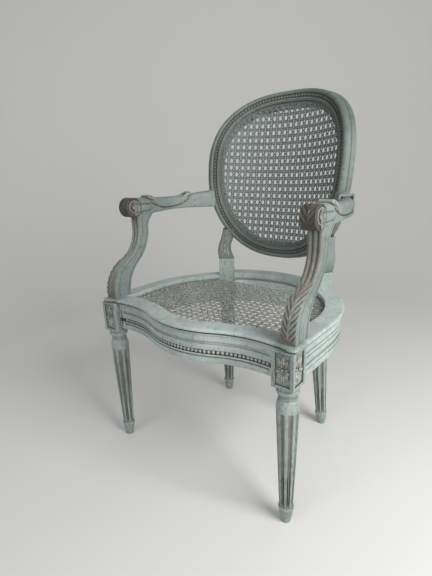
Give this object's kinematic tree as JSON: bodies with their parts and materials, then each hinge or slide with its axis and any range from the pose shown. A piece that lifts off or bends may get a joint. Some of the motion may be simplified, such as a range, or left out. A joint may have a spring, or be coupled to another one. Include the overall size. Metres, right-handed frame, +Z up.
{
  "type": "open armchair",
  "caption": "Open armchair with a caned oval back, caned bow-fronted seat, scrolled arms and fluted tapering legs.",
  "frame": {"origin": "on the floor, midway across the width and the depth of the chair", "axes": "+Z up, the sitter faces -Y, X across the chair: it is the same on both sides of X = 0"},
  "size_m": [0.59, 0.5607, 0.9624],
  "materials": {
    "painted_wood": "worn blue-grey paint over brown wood, matte",
    "painted_cane": "grey-green paint on woven cane, matte",
    "peg_wood": "painted over end grain, matte"
  },
  "bodies": {
    "root": {"front_rail": "painted_wood", "rear_rail": "painted_wood", "side_rail_right": "painted_wood", "side_rail_left": "painted_wood", "front_leg_right": "painted_wood", "front_leg_left": "painted_wood", "back_post_right": "painted_wood", "back_post_left": "painted_wood", "back_top_rail": "painted_wood", "back_bottom_rail": "painted_wood", "arm_right": "painted_wood", "arm_left": "painted_wood", "arm_support_right": "painted_wood", "arm_support_left": "painted_wood", "seat_cane": "painted_cane", "back_cane": "painted_cane", "seat_frame_pegs": "peg_wood", "back_hoop_pegs": "peg_wood", "arm_pegs": "peg_wood"}
  },
  "joints": []
}
